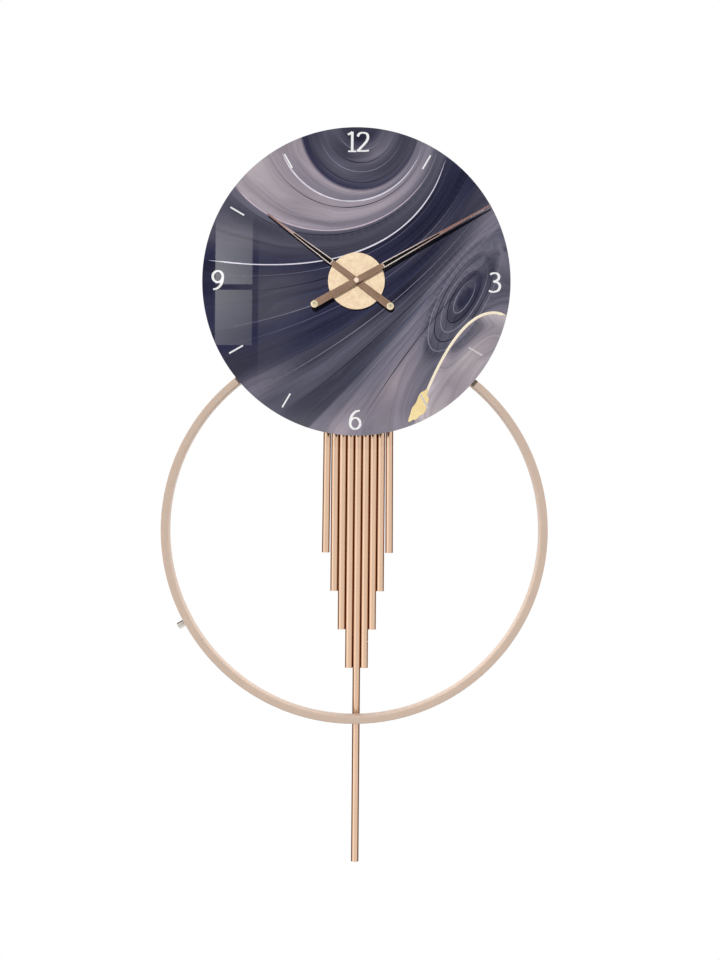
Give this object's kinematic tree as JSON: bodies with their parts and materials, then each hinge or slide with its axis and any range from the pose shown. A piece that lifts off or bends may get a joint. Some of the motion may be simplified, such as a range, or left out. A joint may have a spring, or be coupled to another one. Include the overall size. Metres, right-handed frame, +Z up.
{
  "type": "pendulum wall clock",
  "caption": "Wall clock with a round glass dial over a slim metal ring, and a swinging pendulum of stepped parallel tubes behind them.",
  "frame": {"origin": "on the wall face of the hanger bracket, on its centre line, just below the keyhole", "axes": "+Z up, +Y into the wall, +X to the right of someone facing the clock; the dial faces -Y"},
  "size_m": [0.506, 0.073, 0.9635],
  "materials": {
    "printed_glass": "polished, back-printed with a marbled picture",
    "board": "dark fibreboard",
    "hub_gold": "brushed light gold",
    "champagne_ring": "satin champagne gold",
    "champagne_tube": "satin rose-champagne plating",
    "hand_bronze": "satin bronze with bright cut edges",
    "pin_champagne": "polished champagne",
    "steel": "zinc-plated",
    "stud_steel": "polished",
    "gear_brass": "turned",
    "copper_wire": "enamelled wire",
    "black_plastic": "moulded",
    "white_plastic": "moulded",
    "rubber": "matte",
    "circuit": "solder mask",
    "cell_jacket": "plain printed jacket"
  },
  "bodies": {
    "clock_frame": {"dial_board": "board", "dial_glass": "printed_glass", "hub_disc": "hub_gold", "clamp_washer": "steel", "clamp_nut": "gear_brass", "movement_case": "black_plastic", "movement_cover": "black_plastic", "cover_screw_1": "steel", "cover_screw_2": "steel", "battery": "cell_jacket", "battery_contact_negative": "steel", "battery_contact_positive": "steel", "circuit_board": "circuit", "stepper_coil": "copper_wire", "stepper_stator": "steel", "drive_coil": "copper_wire", "ring_frame": "champagne_ring", "ring_stud": "stud_steel", "ring_bracket_left": "steel", "ring_bracket_right": "steel", "band_screw_left": "steel", "band_screw_right": "steel", "bracket_screw_left": "steel", "bracket_screw_right": "steel", "hanger_bracket": "steel", "hanger_screw_1": "steel", "hanger_screw_2": "steel", "hanger_screw_3": "steel", "hanger_screw_4": "steel", "standoff_left": "black_plastic", "standoff_right": "black_plastic", "standoff_foot_left": "rubber", "standoff_foot_right": "rubber", "pivot_pin": "steel", "pivot_clip": "steel"},
    "minute_works": {"minute_arbor": "gear_brass", "minute_hand": "hand_bronze", "minute_hand_pin": "pin_champagne", "centre_cap": "pin_champagne"},
    "hour_works": {"hour_wheel": "gear_brass", "hour_hand": "hand_bronze", "hour_hand_pin": "pin_champagne"},
    "setting_works": {"setting_wheel": "white_plastic", "setting_knob": "white_plastic"},
    "pendulum": {"pendulum_arm": "white_plastic", "drive_magnet": "steel", "tube_header": "champagne_tube", "tube_1": "champagne_tube", "tube_2": "champagne_tube", "tube_3": "champagne_tube", "tube_4": "champagne_tube", "tube_5": "champagne_tube", "tube_6": "champagne_tube", "tube_7": "champagne_tube", "tube_8": "champagne_tube", "tube_9": "champagne_tube"}
  },
  "joints": [
    {"name": "minute_turn", "type": "hinge", "parent": "clock_frame", "child": "minute_works", "pos_m": [0, -0.05, -0.15], "axis": [0, 1, 0], "continuous": true},
    {"name": "hour_turn", "type": "hinge", "parent": "clock_frame", "child": "hour_works", "pos_m": [0, -0.05, -0.15], "axis": [0, 1, 0], "continuous": true},
    {"name": "setting_turn", "type": "hinge", "parent": "clock_frame", "child": "setting_works", "pos_m": [-0.012, -0.03, -0.15], "axis": [0, 1, 0], "continuous": true},
    {"name": "pendulum_swing", "type": "hinge", "parent": "clock_frame", "child": "pendulum", "pos_m": [0.0045, -0.0175, -0.128], "axis": [0, 1, 0], "range_deg": [-4, 4]}
  ],
  "couplings": [
    {"joint": "hour_turn", "follows": "minute_turn", "ratio": 0.083333},
    {"joint": "setting_turn", "follows": "minute_turn", "ratio": -0.33333}
  ]
}
